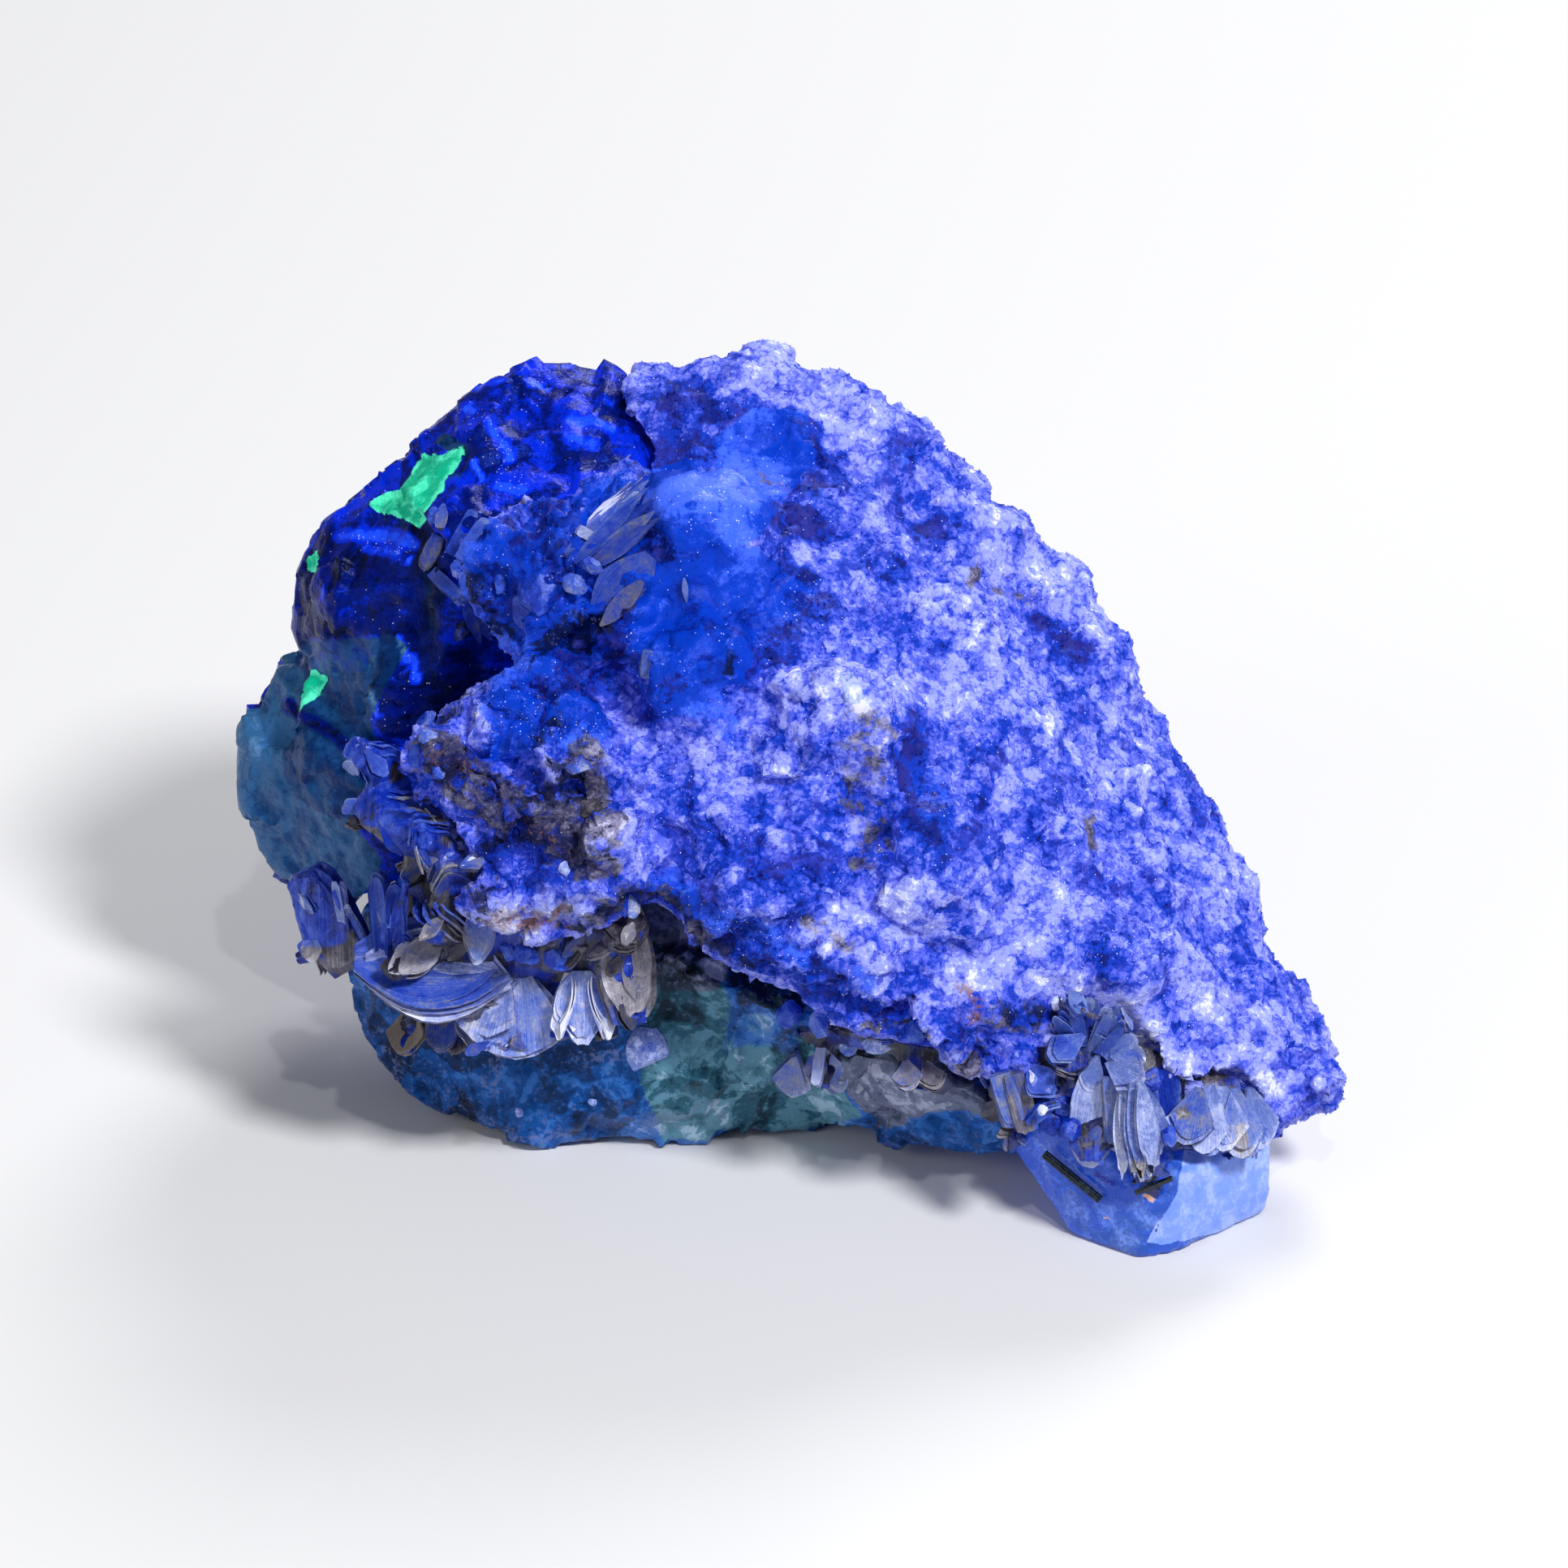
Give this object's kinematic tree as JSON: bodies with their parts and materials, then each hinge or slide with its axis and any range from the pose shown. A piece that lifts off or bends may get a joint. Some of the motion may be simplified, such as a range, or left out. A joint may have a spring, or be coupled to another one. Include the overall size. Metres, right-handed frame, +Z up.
{
  "type": "fluorite specimen",
  "caption": "Blue fluorite on a sugary feldspar crust, with curled mica books, a clear crystal and two thin dark needles, resting on its cleaved underside.",
  "frame": {"origin": "on the resting plane, under the middle of the specimen's bounding box", "axes": "+X along its length, from the deep-blue fluorite to the crust's pointed end; -Y out of its best face; +Z up"},
  "size_m": [0.0694, 0.045, 0.0455],
  "materials": {
    "feldspar": "sugary, violet-blue with pale frosted patches",
    "fluorite_deep_blue": "glassy, deep ultramarine, with small bright green patches",
    "fluorite_teal": "glassy, dark teal to green with pale veils",
    "clear_crystal": "clear, pale blue",
    "mica": "pearly, violet to beige plates",
    "schorl": "glossy black-green"
  },
  "bodies": {
    "root": {"feldspar_crust": "feldspar", "fluorite_left": "fluorite_deep_blue", "fluorite_base": "fluorite_teal", "clear_crystal": "clear_crystal", "mica_books_left": "mica", "mica_books_right": "mica", "schorl_needle_long": "schorl", "schorl_needle_short": "schorl"}
  },
  "joints": []
}
